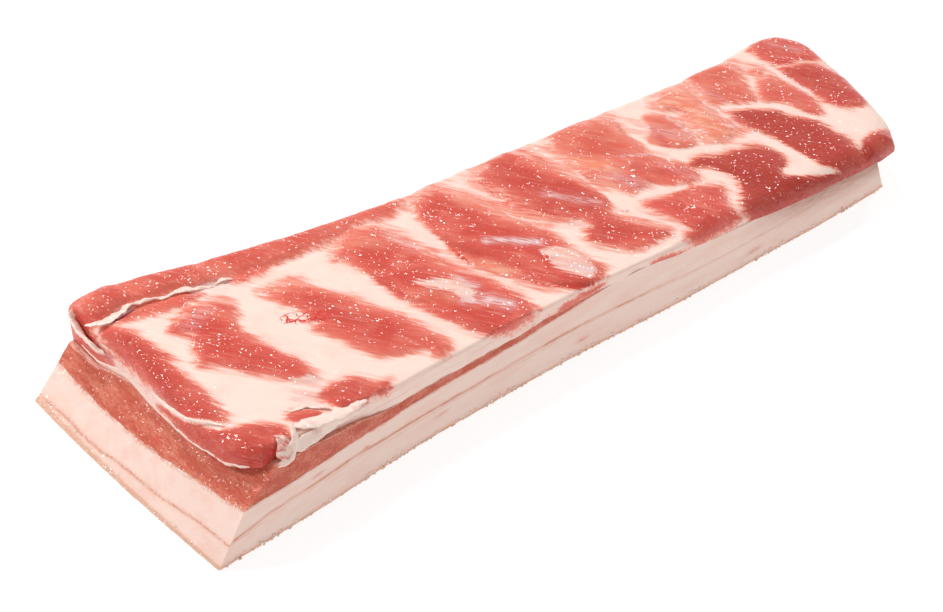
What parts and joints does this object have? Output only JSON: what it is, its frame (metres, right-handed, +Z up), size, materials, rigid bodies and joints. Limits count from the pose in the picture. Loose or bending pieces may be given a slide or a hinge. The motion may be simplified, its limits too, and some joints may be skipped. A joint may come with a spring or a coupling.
{
  "type": "slab of raw pork belly with rind and back fat",
  "caption": "Long boneless slab of raw pork fat and belly meat lying rind down: thick pale back fat, a lean layer, and a top of rib muscles between bands of fat.",
  "frame": {"origin": "centre of the bounding box, on the plane that the rind lies on", "axes": "+X along the slab away from its thick end, +Y across it away from the long cut side, +Z up from the rind"},
  "size_m": [0.4914, 0.158, 0.0551],
  "materials": {
    "back_fat": "raw back fat, moist and cut smooth, with a thin tan rind underneath",
    "lower_lean": "raw lean pork cut across the grain, moist, brownish red with fine pale marbling",
    "rib_layer": "raw rib muscles in pinkish red with feathered edges between bands of pale cream fat, wet"
  },
  "bodies": {
    "root": {"back_fat": "back_fat", "lower_lean": "lower_lean", "rib_layer": "rib_layer"}
  },
  "joints": []
}
